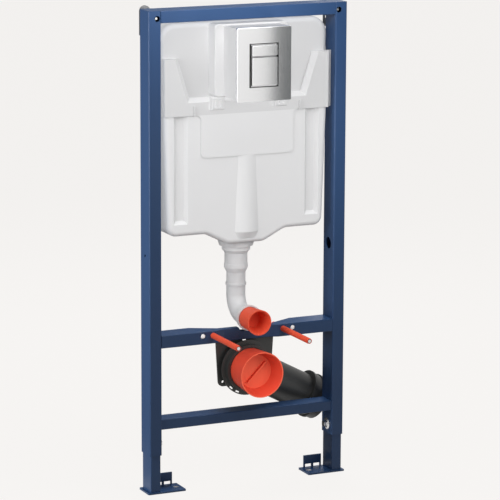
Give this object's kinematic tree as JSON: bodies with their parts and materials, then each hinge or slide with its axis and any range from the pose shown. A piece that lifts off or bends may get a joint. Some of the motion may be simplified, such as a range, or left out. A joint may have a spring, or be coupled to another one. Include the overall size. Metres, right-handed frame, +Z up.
{
  "type": "wall hung toilet frame",
  "caption": "Blue steel in-wall frame on adjustable feet that carries a wall hung toilet, with concealed cistern, flush plate, flush pipe and waste bend.",
  "frame": {"origin": "on the left leg's axis, on the underside of its foot plate", "axes": "+Z up, +X to the right leg, +Y to the wall behind; the pan hangs on the -Y side"},
  "size_m": [0.5151, 0.308, 1.135],
  "materials": {
    "blue_steel": "satin blue powder coat",
    "galvanised_steel": "galvanised, dull",
    "bright_steel": "bright zinc plate",
    "white_plastic": "satin moulded white",
    "chrome": "polished and matt chrome",
    "red_plastic": "moulded orange red",
    "black_plastic": "moulded black"
  },
  "bodies": {
    "left_leg": {"left_leg": "blue_steel", "left_foot": "blue_steel"},
    "frame": {"left_upright": "blue_steel", "right_upright": "blue_steel", "top_rail": "blue_steel", "lower_rail": "blue_steel", "fixing_rail": "blue_steel", "left_leg_bolt": "bright_steel", "right_leg_bolt": "bright_steel", "left_wall_bracket": "galvanised_steel", "right_wall_bracket": "galvanised_steel", "left_wall_screw": "bright_steel", "right_wall_screw": "bright_steel", "cistern_body": "white_plastic", "cistern_cover": "white_plastic", "plate_housing": "white_plastic", "left_housing_clip": "white_plastic", "right_housing_clip": "white_plastic", "flush_plate": "chrome", "outlet_collar": "white_plastic", "flush_socket": "white_plastic", "flush_pipe": "white_plastic", "flush_bell": "white_plastic", "flush_cap": "red_plastic", "waste_bracket": "black_plastic", "waste_ring": "black_plastic", "waste_bend": "black_plastic", "waste_coupling": "black_plastic", "waste_cap": "red_plastic", "left_stud": "bright_steel", "right_stud": "bright_steel", "left_stud_sleeve": "red_plastic", "right_stud_sleeve": "red_plastic"},
    "right_leg": {"right_leg": "blue_steel", "right_foot": "blue_steel"},
    "small_button": {"small_button": "chrome"},
    "large_button": {"large_button": "chrome"}
  },
  "joints": [
    {"name": "frame_height", "type": "slide", "parent": "left_leg", "child": "frame", "axis": [0, 0, 1], "range_m": [0, 0.2]},
    {"name": "right_leg_slide", "type": "slide", "parent": "frame", "child": "right_leg", "axis": [0, 0, -1], "range_m": [0, 0.2]},
    {"name": "small_button_press", "type": "slide", "parent": "frame", "child": "small_button", "axis": [0, 1, 0], "range_m": [0, 0.005], "stiffness_N_per_m": 600},
    {"name": "large_button_press", "type": "slide", "parent": "frame", "child": "large_button", "axis": [0, 1, 0], "range_m": [0, 0.005], "stiffness_N_per_m": 600}
  ]
}
